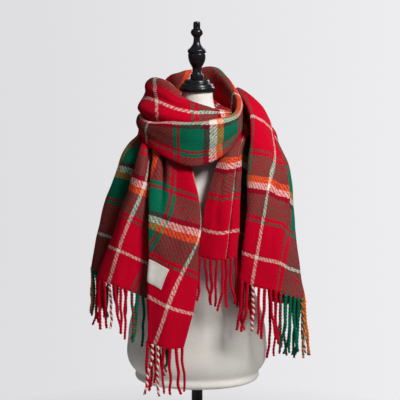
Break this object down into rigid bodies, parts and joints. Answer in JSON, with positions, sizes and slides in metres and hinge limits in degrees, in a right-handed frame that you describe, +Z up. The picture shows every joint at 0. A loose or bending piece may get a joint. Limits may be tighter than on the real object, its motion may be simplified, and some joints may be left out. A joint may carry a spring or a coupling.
{
  "type": "tartan blanket scarf on dress form",
  "caption": "Large fringed tartan blanket scarf wound round the neck of a limbless dress form on a round-based stand, its two ends hanging in front.",
  "frame": {"origin": "centre of the underside of the round base, on the floor", "axes": "+Z up along the stand; -Y towards the viewer in front, where the scarf's ends hang; +X to the viewer's right"},
  "size_m": [0.5285, 0.37, 1.5997],
  "materials": {
    "tartan_wool": "brushed twill tartan, red and green with white, orange and burgundy lines",
    "fringe_wool": "twisted brushed wool tassels",
    "label_cotton": "plain woven, no print",
    "form_linen": "smooth cream covering",
    "black_lacquer": "black gloss lacquer",
    "black_metal": "black gloss paint"
  },
  "bodies": {
    "root": {"left_end": "tartan_wool", "back_under": "tartan_wool", "front_wrap": "tartan_wool", "back_over": "tartan_wool", "right_end": "tartan_wool", "left_fringe": "fringe_wool", "right_fringe": "fringe_wool", "label": "label_cotton", "torso": "form_linen", "neck_cap": "black_lacquer", "finial": "black_lacquer", "pole": "black_metal", "base": "black_metal"}
  },
  "joints": []
}
